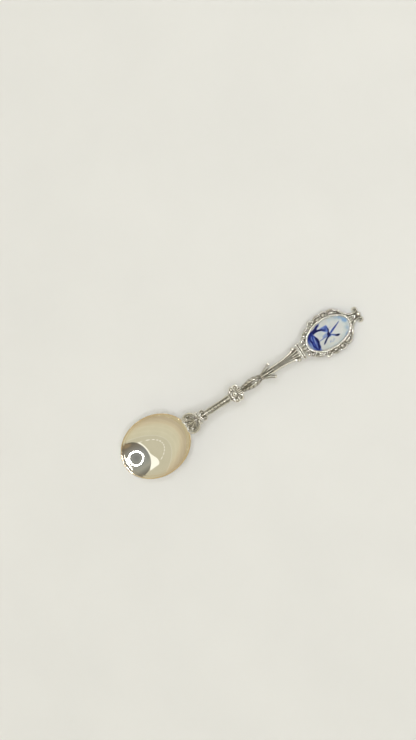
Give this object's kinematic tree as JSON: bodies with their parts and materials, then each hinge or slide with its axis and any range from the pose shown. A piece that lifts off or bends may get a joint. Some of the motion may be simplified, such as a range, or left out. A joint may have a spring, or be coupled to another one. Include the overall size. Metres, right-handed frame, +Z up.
{
  "type": "souvenir spoon",
  "caption": "Small silver-plated teaspoon with an oval bowl, an ornate cast handle and an openwork finial that frames a domed blue and white porcelain plaque.",
  "frame": {"origin": "on the table, under the middle of the spoon's box as it rests", "axes": "+X along the spoon from the bowl's tip to the crown, +Y across the bowl, +Z up from the table"},
  "size_m": [0.12, 0.026, 0.01],
  "materials": {
    "polished_silver": "silver plate on brass, polished, lightly tarnished",
    "antique_silver": "silver plate on brass, cast relief with dark patina in the recesses",
    "cement": "set cement, hidden",
    "porcelain": "glossy glaze over a blue painted landscape"
  },
  "bodies": {
    "root": {"bowl": "polished_silver", "heel_rosette": "antique_silver", "collar_scrolls": "antique_silver", "beaded_bar": "antique_silver", "bead_wire": "antique_silver", "scroll_knot": "antique_silver", "baluster": "antique_silver", "leaf_sprouts": "antique_silver", "fluted_shaft": "antique_silver", "capital": "antique_silver", "crossbar": "antique_silver", "finial_frame": "antique_silver", "crown": "antique_silver", "back_plate": "antique_silver", "collet": "antique_silver", "cement_bed": "cement", "porcelain_plaque": "porcelain"}
  },
  "joints": []
}
